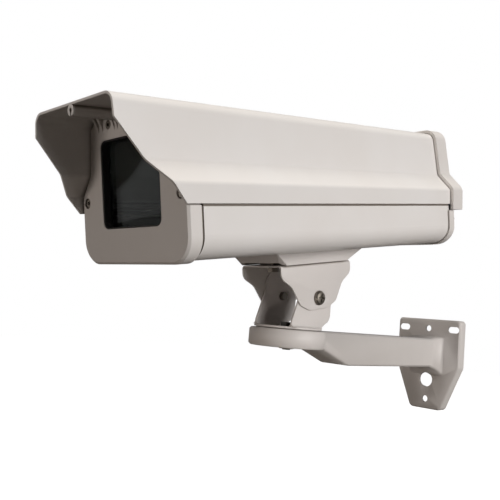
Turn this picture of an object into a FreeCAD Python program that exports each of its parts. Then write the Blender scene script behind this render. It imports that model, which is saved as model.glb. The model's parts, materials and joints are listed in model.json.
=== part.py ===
import FreeCAD, Part
import math
import os

# Camera housing on a swivel and tilt wall bracket, lengths in mm.
# Origin on the wall face between the two slots, X across, the window looks toward -Y, Z up.
# Housing pieces are drawn level in their own frame (v runs from window to rear,
# w is up from the edge of the tray) and then tilted about the tilt pivot.

V = FreeCAD.Vector
TILT = 9.87

# pivot of the tilt, in the housing frame and on the bracket
PIVOT_V = 193.7
PIVOT_W = -86.2
PIVOT_Y = -255.9
PIVOT_Z = 20.0

# hood extrusion, each half width stepped in from the one below it
WALL = 2.0
SKIRT_HALF = 75.7
SHOULDER_IN = 14.9
SHOULDER_HALF = SKIRT_HALF - SHOULDER_IN
TOP_IN = 4.65
HOOD_TOP_HALF = SHOULDER_HALF - TOP_IN
SKIRT_TAPER = 0.7
SKIRT_END_HALF = SKIRT_HALF - SKIRT_TAPER
HOOD_TOP = 81.4
SHOULDER_W = 34.1
SKIRT_W = 17.2
SKIRT_END_W = 1.9
HOOD_ROUND = 10.0
BEND_ROUND = 5.0
VISOR_V = -48.7
VISOR_CUT_W = 62.6
VISOR_CUT_V = -2.2
HOOD_END_V = 366.0
CHANNEL_R = 4.4
CHANNEL_BORE = 1.7
CHANNEL_SLOT = 1.8
CHANNEL_SINK = 0.6
TOP_CHANNEL_W = HOOD_TOP - WALL - CHANNEL_R + CHANNEL_SINK
SIDE_CHANNEL_GAP = 4.8
SIDE_CHANNEL_U = SKIRT_HALF - WALL - CHANNEL_R - SIDE_CHANNEL_GAP
SIDE_CHANNEL_DROP = 6.8
SIDE_CHANNEL_W = SKIRT_W - SIDE_CHANNEL_DROP
SIDE_WEB = 1.8

# rear caps: the upper one laps the hood, the lower one laps the tray
RUN_END = 0.5
UPPER_OVER = 3.8
UPPER_LAP = 5.0
UPPER_V = HOOD_END_V - UPPER_LAP
UPPER_DEEP = 19.0
UPPER_END = HOOD_END_V + UPPER_DEEP
UPPER_LOW = -4.4
CAP_FLOOR = 3.0
CAP_WALL = 3.0
CAP_BREAK = 4.5
SLEEVE_GAP = 0.5
TRAY_END_V = UPPER_V - RUN_END
LOWER_OVER = 2.0
LOWER_LAP = 2.5
LOWER_V = TRAY_END_V - LOWER_LAP
LOWER_DEEP = 11.5
LOWER_END = TRAY_END_V + LOWER_DEEP
CAPS_APART = 0.6
LOWER_TOP = UPPER_LOW - CAPS_APART
LUG_IN = 20.7
LUG_U = SKIRT_HALF - LUG_IN
LUG_HALF = 7.0
LUG_THICK = 4.0
LUG_DROP = 12.0
LOCK_DROP = 6.5

# tray extrusion
TRAY_IN = 1.6
TRAY_HALF = SKIRT_END_HALF - TRAY_IN
TRAY_BOTTOM = -42.5
TRAY_ROUND = 21.0
TRAY_V = 13.9
TRAY_CHANNEL_U = TRAY_HALF - WALL - CHANNEL_R + CHANNEL_SINK
TRAY_CHANNEL_W = -14.0
LEDGE = 4.2
RAIL_U = 40.0
RAIL_THICK = 3.0
RAIL_TALL = 8.0
RAIL_TOP = TRAY_BOTTOM + WALL + RAIL_TALL

# lid hinge: a bead along the tray runs in a socket along the hood
BEAD_R = 2.2
HINGE_IN = 2.3
HINGE_U = HINGE_IN - TRAY_HALF
HINGE_W = 4.5
RUN_GAP = 0.08
SOCKET_R = 3.9
NECK = 1.5
SOCKET_FROM = -62.0
SOCKET_TO = 175.0

# seam gasket on the ledge of the tray
SEAM_THICK = 2.6
SEAM_TALL = 3.4
SEAM_IN = 0.5
LIP_GAP = 0.3
LIP_THICK = 1.6
LEFT_SEAM_U = HINGE_U + SOCKET_R + SEAM_IN

# bezel casting: its upper part fits inside the hood, its lower band follows the tray
BEZEL_DEPTH = 12.4
BEZEL_WALL = 3.5
BEZEL_FACE = 4.0
BEZEL_BREAK = 1.9
BEZEL_GAP = 0.5
BEZEL_TOP = HOOD_TOP - WALL - BEZEL_GAP
TOP_CORNER_IN = 10.15
SLOPE_CORNER_IN = 1.55
SLOPE_CORNER_DROP = 8.4
WAIST_IN = 3.3
HIP_IN = 4.7
HIP_DROP = 1.8
BAND_TOP = 0.9
BAND_IN = 0.4

# ridged lugs of the bezel beside its two upper screws
LUG_SCREW_U = 27.0
LUG_SCREW_DROP = 6.1
LUG_SCREW_W = BEZEL_TOP - LUG_SCREW_DROP
LUG_PAD_R = 5.2
RIDGES = (-12.8, -8.3, 9.3, 15.5)
RIDGE_WIDE = 2.6
RIDGE_TALL = 11.9
RIDGE_OUT = 4.6

# window
WINDOW_HALF = 40.5
WINDOW_LOW = -12.9
WINDOW_HIGH = 60.6
WINDOW_ROUND = 6.5
REBATE = 5.0
REBATE_V = 5.6
LINING = 1.2
LINING_V = 0.6
SEAL_THICK = 1.2
GLASS_THICK = 4.0
REBATE_END = REBATE_V + SEAL_THICK + GLASS_THICK
RETAINER_THICK = 1.4
FRAME_EDGE = 10.5
EDGE_GAP = 0.3

# saddle and folded upper clevis, lengths from the pivot
SADDLE_HALF = 30.0
SADDLE_TALL = 9.5
SADDLE_LOW = TRAY_BOTTOM - SADDLE_TALL
SADDLE_TOP_FRONT = 68.7
SADDLE_TOP_REAR = 63.3
SADDLE_FRONT = 46.7
SADDLE_REAR = 41.3
PLATE = 2.8
UPPER_TOP = SADDLE_LOW - PIVOT_W
UPPER_HALF = 26.2
UPPER_LENGTH = 51.5
BEND_R = 4.0
EAR_LOW = -10.7
SADDLE_BOLT_V = 34.0
BOLT_R = 2.98
BOLT_HOLE = 3.2
BOLT_HEX = 5.0

# lower clevis casting, measured from the pivot
SIDE_PLAY = 0.2
EAR_HALF = UPPER_HALF - PLATE - SIDE_PLAY
EAR_TOP_R = 26.5
BASE_TOP = -29.6
BASE_THICK = 2.8
BASE_R = 35.5
SWIVEL_S = -12.5
DISC_TOP = BASE_TOP - BASE_THICK
NUT_POCKET = 5.5
POCKET_R = 10.0
WASHER = 1.6
NUT_TALL = 5.9
NUT_HEX = 6.5

# tilt screws
PIN_R = 4.0
FIT = 0.05
PAN_R = 7.0
PAN_TALL = 3.8

# arm and wall plate casting
DISC_R = 37.5
DISC_THICK = 17.1
DISC_BREAK = 1.8
ARM_HALF = 18.65
ARM_DEEP = 33.4
ARM_BREAK = 2.0
ARM_SLOPE_FROM = 20.0
ARM_SLOPE_TO = 63.0
ARM_WALL = 4.0
CORE_FROM = 78.0
FLARE_LONG = 22.0
FLARE_SIDE = 5.2
FLARE_DOWN = 12.0
FLARE_UP = 3.0
FLARE_R = 30.0
RIM = 12.0
WEB = 4.0
RIM_WALL = 4.0
PLATE_BREAK_EDGE = 1.8
PLATE_TOP = 11.5
PLATE_HALF = 43.0
PLATE_BREAK = -45.0
PLATE_LOW = -98.0
PLATE_LOW_HALF = 21.0
SLOT_U = 34.0
SLOT_LONG = 15.0
HOLE_R = 3.8
HOLE_LOW_Z = -86.0
CABLE_Z = -62.7
CABLE_R = 8.7
CABLE_FLAT = 6.7
PAD_EDGE = 4.0

# screws of the housing
SCREW_R = 2.0
SCREW_HOLE = 2.3
TIGHT = 0.02
HEAD_R = 3.5
HEAD_TALL = 3.6
COUNTERBORE_R = 4.5
COUNTERBORE_DEEP = 4.6
GRIP = 14.0

# camera plate and its screws
TABLE_HALF = 44.0
TABLE_LONG = 230.0
TABLE_MID = PIVOT_V
TABLE_FRONT = TABLE_MID - TABLE_LONG / 2
TABLE_THICK = 2.5
TABLE_LIFT = 0.03
TABLE_W = RAIL_TOP + TABLE_LIFT
THREAD_R = 2.0
THUMB_R = 7.0
THUMB_TALL = 7.0
SLIDE = 20.0
STUD_R = 3.15

# cable glands in the rear lower cap
GLAND_PITCH = 34.0
GLAND_RISE = 17.5
GLAND_W = TRAY_BOTTOM + GLAND_RISE
GLAND_R = 7.9
GLAND_HEX = 11.0
GLAND_FLANGE = 4.0
GLAND_OUT = 15.0
GLAND_SKIRT = 9.4
GLAND_DOME = 7.0
BORE_R = 4.6
MOUTH_R = 5.4
SEAL_R = 6.0

# how far a cutter reaches past the part
FAR = 4 * SKIRT_HALF


def across(v):
    """Places a section (u, w) at the station v."""
    return lambda p: V(p.x, v, p.y)


def sideways(x):
    """Places a side outline (y, z) at the distance x from the middle."""
    return lambda p: V(x, p.x, p.y)


def level(z):
    """Places a plan outline (x, y) at the height z."""
    return lambda p: V(p.x, p.y, z)


def outline(corners, place):
    """Closed wire through corners (a, b, radius)."""
    count = len(corners)
    turns = []
    for i, (a, b, r) in enumerate(corners):
        p = V(a, b, 0)
        last = corners[i - 1]
        following = corners[(i + 1) % count]
        back = (V(last[0], last[1], 0) - p).normalize()
        ahead = (V(following[0], following[1], 0) - p).normalize()
        if r <= 0:
            turns.append((p, p, p))
            continue
        half = back.getAngle(ahead) / 2
        inward = (back + ahead).normalize()
        cut = r / math.tan(half)
        nearest = p + inward * (r / math.sin(half) - r)
        turns.append((p + back * cut, nearest, p + ahead * cut))
    edges = []
    for i, (start, middle, end) in enumerate(turns):
        if (end - start).Length > 1e-6:
            edges.append(Part.Arc(place(start), place(middle), place(end)).toShape())
        begin = turns[(i + 1) % count][0]
        if (begin - end).Length > 1e-6:
            edges.append(Part.makeLine(place(end), place(begin)))
    return Part.Wire(edges)


def prism(corners, place, along, offset=0.0):
    """Extruded outline, grown or shrunk by the offset."""
    wire = outline(corners, place)
    if offset:
        wire = wire.makeOffset2D(offset, 0, False, False, True)
        if wire.ShapeType != "Wire":
            wire = wire.Wires[0]
    return Part.Face(wire).extrude(along)


def mirrored(right):
    """Corners of the right half, top to bottom, joined by their mirror image."""
    return right + [(-a, b, r) for a, b, r in reversed(right)]


def box(x0, x1, y0, y1, z0, z1):
    return Part.makeBox(x1 - x0, y1 - y0, z1 - z0, V(x0, y0, z0))


def below(w):
    """Everything under the height w."""
    return box(-FAR, FAR, -FAR, 2 * FAR, w - FAR, w)


def rod(r, start, along):
    return Part.makeCylinder(r, along.Length, start, along)


def joined(shapes):
    return shapes[0].multiFuse(shapes[1:]).removeSplitter()


def turned(points, start, along):
    """Solid of revolution from (radius, distance) points, set on an axis."""
    wire = Part.makePolygon([V(r, 0, d) for r, d in points] + [V(points[0][0], 0, points[0][1])])
    solid = Part.Face(wire).revolve(V(0, 0, 0), V(0, 0, 1), 360)
    solid.Placement = FreeCAD.Placement(start, FreeCAD.Rotation(V(0, 0, 1), along))
    return solid


def polygon_rod(sides, reach, start, along, turn=0.0):
    """Prism with a regular outline, reach from the axis to each corner."""
    ring = []
    for k in range(sides):
        angle = math.radians(360 * k / sides + turn)
        ring.append(V(reach * math.cos(angle), reach * math.sin(angle), 0))
    solid = Part.Face(Part.makePolygon(ring + ring[:1])).extrude(V(0, 0, along.Length))
    solid.Placement = FreeCAD.Placement(start, FreeCAD.Rotation(V(0, 0, 1), along))
    return solid


def hexagon(half_flats, start, along, turn=0.0):
    """Six-sided prism, half_flats from the axis to each flat."""
    return polygon_rod(6, half_flats / math.cos(math.pi / 6), start, along, turn)


def shank(r, start, along):
    """Threaded part of a small screw, plain and twelve-sided."""
    return polygon_rod(12, r, start, along)


def socket_screw(start, inward, long, r=SCREW_R, head=HEAD_R, tall=HEAD_TALL):
    """Cap screw: start under the head, the shank runs inward, the head stands outward."""
    out = inward * -1
    solid = joined([shank(r, start, inward * long), rod(head, start, out * tall)])
    key = hexagon(head * 0.42, start + out * (tall * 0.4), out * tall)
    return solid.cut(key)


def hex_screw(start, inward, long, r, half_flats, tall):
    """Hexagon head on a plain shank."""
    return joined([shank(r, start, inward * long), hexagon(half_flats, start, inward * -tall)])


def pan_screw(start, inward, long, r, head, tall):
    """Domed head with a cross recess on a round shank."""
    out = inward * -1
    dome = [(0, 0), (head, 0), (head, tall * 0.4), (head * 0.8, tall * 0.86), (head * 0.45, tall),
            (0, tall)]
    solid = joined([rod(r, start, inward * long), turned(dome, start, out)])
    arm = head * 1.15
    wide = head * 0.24
    deep = tall * 0.62
    for a, b in ((arm, wide), (wide, arm)):
        bar = Part.makeBox(a, b, deep, V(-a / 2, -b / 2, 0))
        bar.Placement = FreeCAD.Placement(start + out * (tall - deep),
                                          FreeCAD.Rotation(V(0, 0, 1), out)).multiply(bar.Placement)
        solid = solid.cut(bar)
    return solid


def tilted(shape):
    """Moves a housing piece from its own frame onto the bracket."""
    moved = shape.copy()
    moved.translate(V(0, -PIVOT_V, -PIVOT_W))
    moved.rotate(V(0, 0, 0), V(1, 0, 0), TILT)
    moved.translate(V(0, PIVOT_Y, PIVOT_Z))
    return moved


def pivoted(shape):
    """Moves a bracket piece drawn about the pivot to its place."""
    moved = shape.copy()
    moved.translate(V(0, PIVOT_Y, PIVOT_Z))
    return moved


# outlines of the two extrusions, with straight legs to cut to length

def hood_corners(low):
    lean = SKIRT_TAPER / (SKIRT_W - SKIRT_END_W)
    return mirrored([(HOOD_TOP_HALF, HOOD_TOP, HOOD_ROUND),
                     (SHOULDER_HALF, SHOULDER_W, BEND_ROUND),
                     (SKIRT_HALF, SKIRT_W, BEND_ROUND),
                     (SKIRT_END_HALF - (SKIRT_END_W - low) * lean, low, 0.0)])


def tray_corners(top):
    return mirrored([(TRAY_HALF, top, 0.0), (TRAY_HALF, TRAY_BOTTOM, TRAY_ROUND)])


def screw_channel(u, w, v0, v1, open_angle):
    """C-shaped channel that takes a self-cutting screw."""
    ring = rod(CHANNEL_R, V(u, v0, w), V(0, v1 - v0, 0))
    ring = ring.cut(rod(CHANNEL_BORE, V(u, v0, w), V(0, v1 - v0, 0)))
    slit = box(u, u + CHANNEL_R + 1, v0, v1, w - CHANNEL_SLOT / 2, w + CHANNEL_SLOT / 2)
    slit.rotate(V(u, 0, w), V(0, -1, 0), open_angle)
    return ring.cut(slit)


def hood():
    long = V(0, HOOD_END_V - VISOR_V, 0)
    low = SKIRT_END_W - WALL
    outer = prism(hood_corners(low), across(VISOR_V), long)
    inner = prism(hood_corners(low - 3 * WALL), across(VISOR_V), long, -WALL)
    shell = outer.cut(inner).cut(below(SKIRT_END_W))
    left_end = HINGE_W + SOCKET_R * math.sin(math.radians(SOCKET_TO))
    inside = HINGE_U + SOCKET_R
    shell = shell.cut(box(-FAR, inside, TRAY_V, FAR + HOOD_END_V, SKIRT_END_W - 1, left_end))

    channels = [screw_channel(0, TOP_CHANNEL_W, VISOR_V, -LIP_GAP, -90),
                screw_channel(0, TOP_CHANNEL_W, TRAY_V, HOOD_END_V, -90)]
    for side in (1, -1):
        channels.append(screw_channel(side * SIDE_CHANNEL_U, SIDE_CHANNEL_W, TRAY_V, HOOD_END_V,
                                      180 if side > 0 else 0))
        web = sorted((side * (SIDE_CHANNEL_U + CHANNEL_R - SEAM_IN), side * (SKIRT_HALF - WALL / 2)))
        channels.append(box(web[0], web[1], TRAY_V, HOOD_END_V, SIDE_CHANNEL_W - SIDE_WEB / 2,
                            SIDE_CHANNEL_W + SIDE_WEB / 2))

    # lips over the seam gasket
    lip_low = SEAM_TALL + LIP_GAP
    channels.append(box(TRAY_HALF - SEAM_IN - SEAM_THICK - LIP_THICK / 2, SKIRT_END_HALF - WALL / 2,
                        TRAY_V, HOOD_END_V, lip_low, lip_low + LIP_THICK))
    channels.append(box(HINGE_U + SOCKET_R - LIP_THICK / 2, LEFT_SEAM_U + SEAM_THICK, TRAY_V,
                        HOOD_END_V, lip_low, lip_low + LIP_THICK))
    bead_room = rod(BEAD_R + RUN_GAP, V(HINGE_U, TRAY_V, HINGE_W), V(0, HOOD_END_V - TRAY_V, 0))
    return joined([shell] + channels + [hinge_socket()]).cut(visor_cut()).cut(bead_room)


def hinge_socket():
    start = V(HINGE_U, TRAY_V, HINGE_W)
    along = V(0, HOOD_END_V - TRAY_V, 0)
    ring = rod(SOCKET_R, start, along).cut(rod(BEAD_R + RUN_GAP, start, along))
    reach = SOCKET_R * 2
    points = [V(HINGE_U, TRAY_V, HINGE_W)]
    steps = 4
    for k in range(steps + 1):
        a = math.radians(SOCKET_TO + (360.0 + SOCKET_FROM - SOCKET_TO) * k / steps)
        points.append(V(HINGE_U + reach * math.cos(a), TRAY_V, HINGE_W + reach * math.sin(a)))
    gap = Part.Face(Part.makePolygon(points + points[:1])).extrude(along)
    return ring.cut(gap)


def visor_cut():
    """Wedge that cuts both sides of the visor on the slant."""
    slope = (VISOR_CUT_V - VISOR_V) / (VISOR_CUT_W - SKIRT_END_W)
    extra = SKIRT_TAPER * 10
    side = [(VISOR_V - extra, VISOR_CUT_W, 0), (VISOR_V, VISOR_CUT_W, 0),
            (VISOR_CUT_V + extra * slope, SKIRT_END_W - extra, 0),
            (VISOR_V - extra, SKIRT_END_W - extra, 0)]
    return prism(side, sideways(-FAR), V(2 * FAR, 0, 0))


def tray():
    long = V(0, TRAY_END_V - TRAY_V, 0)
    outer = prism(tray_corners(0), across(TRAY_V), long)
    inner = prism(tray_corners(TRAY_ROUND), across(TRAY_V), long, -WALL)
    pieces = [outer.cut(inner)]
    for side in (1, -1):
        ledge_end = TRAY_HALF - WALL - LEDGE if side > 0 else -LEFT_SEAM_U - SEAM_THICK - SEAM_IN
        span = sorted((side * ledge_end, side * (TRAY_HALF - WALL / 2)))
        pieces.append(box(span[0], span[1], TRAY_V, TRAY_END_V, -WALL, 0))
        pieces.append(screw_channel(side * TRAY_CHANNEL_U, TRAY_CHANNEL_W, TRAY_V, TRAY_END_V,
                                    180 if side > 0 else 0))
        rail = sorted((side * RAIL_U, side * (RAIL_U - RAIL_THICK)))
        pieces.append(box(rail[0], rail[1], TRAY_V, TRAY_END_V, TRAY_BOTTOM + WALL / 2, RAIL_TOP))
    start = V(HINGE_U, TRAY_V, HINGE_W)
    pieces.append(rod(BEAD_R, start, long))
    pieces.append(box(HINGE_U - NECK / 2, HINGE_U + NECK / 2, TRAY_V, TRAY_END_V, -WALL / 2, HINGE_W))
    body = joined(pieces)
    cuts = [rod(BOLT_HOLE, V(0, v, TRAY_BOTTOM - 1), V(0, 0, WALL + 2)) for v in saddle_bolts()]
    for u, v in table_screws():
        cuts.append(rod(THREAD_R, V(u, v, RAIL_TOP - RAIL_TALL + 1), V(0, 0, RAIL_TALL)))
    return body.cut(Part.makeCompound(cuts))


def seam_gasket():
    """Soft strip on the ledge of the tray, right and left."""
    right = TRAY_HALF - SEAM_IN
    strips = [box(right - SEAM_THICK, right, TRAY_V, TRAY_END_V, 0, SEAM_TALL)]
    strips.append(box(LEFT_SEAM_U, LEFT_SEAM_U + SEAM_THICK, TRAY_V, TRAY_END_V, 0, SEAM_TALL))
    return Part.makeCompound(strips)


# bezel with window

def bezel_corners():
    band = TRAY_HALF - BAND_IN
    return mirrored([(HOOD_TOP_HALF - TOP_CORNER_IN, BEZEL_TOP, 2.0),
                     (HOOD_TOP_HALF - SLOPE_CORNER_IN, BEZEL_TOP - SLOPE_CORNER_DROP, 6.0),
                     (SHOULDER_HALF - WAIST_IN, SHOULDER_W - BEZEL_GAP, 6.0),
                     (SKIRT_HALF - HIP_IN, SKIRT_W - HIP_DROP, BEND_ROUND),
                     (SKIRT_HALF - HIP_IN, BAND_TOP, 0.0), (band, BAND_TOP, 0.0),
                     (band, TRAY_BOTTOM + BAND_IN, TRAY_ROUND - BAND_IN)])


def window_corners(edge):
    r = WINDOW_ROUND + (edge if edge < REBATE + 1 else 0)
    half = WINDOW_HALF + edge
    return [(half, WINDOW_HIGH + edge, r), (half, WINDOW_LOW - edge, r),
            (-half, WINDOW_LOW - edge, r), (-half, WINDOW_HIGH + edge, r)]


def window_prism(edge, v, deep):
    """Prism with the outline of the window, grown by the edge."""
    return prism(window_corners(edge), across(v), V(0, deep, 0))


def bezel_bolts():
    return [(SIDE_CHANNEL_U, SIDE_CHANNEL_W), (-SIDE_CHANNEL_U, SIDE_CHANNEL_W)]


def lug_bolts():
    return [(LUG_SCREW_U, LUG_SCREW_W), (-LUG_SCREW_U, LUG_SCREW_W)]


def retainer_bolts():
    return [(side * LUG_SCREW_U, WINDOW_LOW - (REBATE + FRAME_EDGE) / 2) for side in (1, -1)]


def front_bezel():
    body = prism(bezel_corners(), across(0), V(0, BEZEL_DEPTH, 0))
    rim = [e for e in body.Edges if e.BoundBox.YMax < 0.01 and e.BoundBox.ZMax < BAND_TOP + 0.01
           and e.BoundBox.ZMin < 0]
    body = body.makeChamfer(BEZEL_BREAK, rim)
    hollow = prism(bezel_corners(), across(BEZEL_FACE), V(0, BEZEL_DEPTH, 0), -BEZEL_WALL)
    keep = [window_prism(FRAME_EDGE, BEZEL_FACE, REBATE_END - BEZEL_FACE)]
    for u, w in bezel_bolts():
        keep.append(rod(COUNTERBORE_R + 1.8, V(u, BEZEL_FACE, w), V(0, BEZEL_DEPTH - BEZEL_FACE, 0)))
    for u, w in lug_bolts():
        keep.append(rod(LUG_PAD_R, V(u, BEZEL_FACE, w), V(0, REBATE_END - BEZEL_FACE, 0)))
    body = body.cut(hollow.cut(joined(keep)))
    body = joined([body] + lug_ridges())
    through = BEZEL_DEPTH + 2
    cuts = [window_prism(0, -1, through), window_prism(REBATE, REBATE_V, through)]
    for u, w in bezel_bolts():
        cuts.append(rod(SCREW_HOLE, V(u, -1, w), V(0, through, 0)))
        cuts.append(rod(COUNTERBORE_R, V(u, -1, w), V(0, COUNTERBORE_DEEP + 1, 0)))
    for u, w in lug_bolts():
        cuts.append(rod(SCREW_HOLE, V(u, -1, w), V(0, through, 0)))
        cuts.append(rod(HEAD_R + EDGE_GAP, V(u, -1, w), V(0, HEAD_TALL + 1, 0)))
    for u, w in retainer_bolts():
        cuts.append(rod(CHANNEL_BORE, V(u, REBATE_END - BEZEL_FACE, w), V(0, BEZEL_FACE + 1, 0)))
    return body.cut(Part.makeCompound(cuts))


def lug_ridges():
    """Curved ridges that flare forward to the hood on both sides of each upper screw."""
    low = BEZEL_TOP - RIDGE_TALL
    side = [(1.0, low, 0), (0, low, 0), (-RIDGE_OUT * 0.3, low + RIDGE_TALL * 0.45, 8.0),
            (-RIDGE_OUT, BEZEL_TOP, 0), (1.0, BEZEL_TOP, 0)]
    ridges = []
    for half in (1, -1):
        for place in RIDGES:
            u = half * (LUG_SCREW_U + place)
            ridges.append(prism(side, sideways(u - RIDGE_WIDE / 2), V(RIDGE_WIDE, 0, 0)))
    return ridges


def bezel_screws():
    return Part.makeCompound([socket_screw(V(u, COUNTERBORE_DEEP, w), V(0, 1, 0), GRIP + WALL,
                                           CHANNEL_BORE - TIGHT) for u, w in bezel_bolts()])


def top_screw():
    """The two screws between the ridged lugs, which hold the top of the window retainer."""
    reach = REBATE_END + RETAINER_THICK - HEAD_TALL
    return Part.makeCompound([socket_screw(V(u, HEAD_TALL, w), V(0, 1, 0), reach,
                                           CHANNEL_BORE - TIGHT) for u, w in lug_bolts()])


def bezel_seal():
    """Thin black strip between the bezel and the two extrusions."""
    start = across(BEZEL_DEPTH)
    thick = V(0, TRAY_V - LIP_GAP - BEZEL_DEPTH, 0)
    outer = prism(bezel_corners(), start, thick, -BEZEL_GAP)
    return outer.cut(prism(bezel_corners(), start, thick, -BEZEL_WALL))


def window_gasket():
    """Flange under the glass with a lip that lines the opening."""
    flange = window_prism(REBATE - EDGE_GAP, REBATE_V, SEAL_THICK)
    lip = window_prism(0, LINING_V, REBATE_V - LINING_V)
    opening = window_prism(-LINING, 0, REBATE_END)
    return joined([flange, lip]).cut(opening)


def window_glass():
    return window_prism(REBATE - EDGE_GAP, REBATE_V + SEAL_THICK, GLASS_THICK)


def window_retainer():
    ring = window_prism(FRAME_EDGE - EDGE_GAP, REBATE_END, RETAINER_THICK)
    tab_top = BEZEL_TOP - BEZEL_WALL - EDGE_GAP
    tabs = [box(u - LUG_PAD_R, u + LUG_PAD_R, REBATE_END, REBATE_END + RETAINER_THICK,
                WINDOW_HIGH + REBATE, tab_top) for u, w in lug_bolts()]
    ring = joined([ring] + tabs).cut(window_prism(EDGE_GAP, REBATE_END - 1, BEZEL_DEPTH))
    for u, w in retainer_bolts() + lug_bolts():
        ring = ring.cut(rod(CHANNEL_BORE, V(u, REBATE_END - 1, w), V(0, BEZEL_DEPTH, 0)))
    return ring


def retainer_screws():
    back = REBATE_END + RETAINER_THICK
    return Part.makeCompound([hex_screw(V(u, back, w), V(0, -1, 0), RETAINER_THICK + BEZEL_FACE - 1,
                                        CHANNEL_BORE - TIGHT, HEAD_R, WALL) for u, w in retainer_bolts()])


# rear caps

def rear_break(body, end):
    """Chamfers the rear rim of a cap, but not the long edge where the two caps meet."""
    rim = [e for e in body.Edges if e.BoundBox.YMin > end - 0.01]
    meeting = [e for e in rim if e.BoundBox.ZLength < 0.01 and e.BoundBox.XLength > SKIRT_HALF
               and LOWER_TOP - 1 < e.BoundBox.ZMin < UPPER_LOW + 1]
    keep = [e for e in rim if not any(e.isSame(m) for m in meeting)]
    return body.makeChamfer(CAP_BREAK, keep)


def cap_bolts():
    return [(0, TOP_CHANNEL_W), (SIDE_CHANNEL_U, SIDE_CHANNEL_W), (-SIDE_CHANNEL_U, SIDE_CHANNEL_W)]


def rear_upper_cap():
    low = UPPER_LOW
    deep = UPPER_END - CAP_WALL
    body = prism(hood_corners(low - FAR / 4), across(UPPER_V), V(0, UPPER_END - UPPER_V, 0), UPPER_OVER)
    body = rear_break(body.cut(below(low)), UPPER_END)
    sleeve = prism(hood_corners(low - FAR / 4), across(UPPER_V - 1), V(0, UPPER_LAP + 1, 0), SLEEVE_GAP)
    room = prism(hood_corners(low - FAR / 4), across(UPPER_V - 1), V(0, deep - UPPER_V + 1, 0), -WALL)
    behind = LOWER_END + CAPS_APART
    posts = [box(-FAR, FAR, behind, UPPER_END, low - 1, low + CAP_FLOOR)]
    for u, w in cap_bolts():
        posts.append(rod(CHANNEL_R, V(u, HOOD_END_V, w), V(0, deep - HOOD_END_V + 1, 0)))
    body = body.cut(joined([sleeve, room]).cut(joined(posts)))
    hinge_side = box(-FAR, HINGE_U + 2 * SOCKET_R, UPPER_V - 1, behind, low - 1,
                     HINGE_W - BEAD_R - CAPS_APART - EDGE_GAP)
    lug_start = behind - SLEEVE_GAP / 2
    lug = box(LUG_U - LUG_HALF, LUG_U + LUG_HALF, lug_start, lug_start + LUG_THICK, low - LUG_DROP,
              low + 1)
    body = joined([body.cut(hinge_side), lug])
    through = V(0, 2 * UPPER_DEEP, 0)
    cuts = [rod(SCREW_HOLE, V(u, UPPER_V, w), through) for u, w in cap_bolts()]
    cuts.append(rod(SCREW_HOLE, V(LUG_U, LOWER_END - 1, low - LOCK_DROP), through))
    return body.cut(Part.makeCompound(cuts))


def upper_cap_screws():
    return Part.makeCompound([socket_screw(V(u, UPPER_END, w), V(0, -1, 0), UPPER_DEEP + GRIP,
                                           CHANNEL_BORE - TIGHT) for u, w in cap_bolts()])


def lock_screw():
    """Captive screw of the lid, drawn turned out of the lower cap."""
    seat = LOWER_END + CAPS_APART - SLEEVE_GAP / 2 + LUG_THICK
    return socket_screw(V(LUG_U, seat, UPPER_LOW - LOCK_DROP), V(0, -1, 0), LUG_THICK,
                        SCREW_R, 4.5, 5.0)


def lower_bolts():
    return [(TRAY_CHANNEL_U, TRAY_CHANNEL_W), (-TRAY_CHANNEL_U, TRAY_CHANNEL_W)]


def gland_places():
    return [(k * GLAND_PITCH, GLAND_W) for k in (-1, 0, 1)]


def rear_lower_cap():
    top = LOWER_TOP
    deep = LOWER_END - CAP_WALL
    body = prism(tray_corners(top + FAR / 4), across(LOWER_V), V(0, LOWER_END - LOWER_V, 0), LOWER_OVER)
    body = body.cut(box(-FAR, FAR, LOWER_V - 1, LOWER_END + 1, top, FAR))
    body = rear_break(body, LOWER_END)
    sleeve = prism(tray_corners(FAR / 4), across(LOWER_V - 1), V(0, LOWER_LAP + 1, 0), SLEEVE_GAP)
    room = prism(tray_corners(FAR / 4), across(LOWER_V - 1), V(0, deep - LOWER_V + 1, 0), -WALL)
    posts = [rod(CHANNEL_R, V(u, TRAY_END_V, w), V(0, deep - TRAY_END_V + 1, 0)) for u, w in lower_bolts()]
    body = body.cut(joined([sleeve, room]).cut(joined(posts)))
    through = V(0, 2 * LOWER_DEEP, 0)
    cuts = [rod(SCREW_HOLE, V(u, LOWER_V, w), through) for u, w in lower_bolts()]
    cuts += [rod(GLAND_R + SLEEVE_GAP / 2, V(u, LOWER_V, w), through) for u, w in gland_places()]
    return body.cut(Part.makeCompound(cuts))


def lower_cap_screws():
    return Part.makeCompound([socket_screw(V(u, LOWER_END, w), V(0, -1, 0), LOWER_DEEP + GRIP,
                                           CHANNEL_BORE - TIGHT) for u, w in lower_bolts()])


# cable glands

def gland_bodies():
    solids = []
    inside = CAP_WALL + GLAND_FLANGE + 2
    for u, w in gland_places():
        thread = rod(GLAND_R, V(u, LOWER_END - inside, w), V(0, inside + GLAND_OUT, 0))
        flange = hexagon(GLAND_HEX, V(u, LOWER_END, w), V(0, GLAND_FLANGE, 0), 30)
        bore = rod(SEAL_R, V(u, LOWER_END - inside, w), V(0, inside + GLAND_OUT, 0))
        solids.append(joined([thread, flange]).cut(bore))
    return Part.makeCompound(solids)


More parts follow.
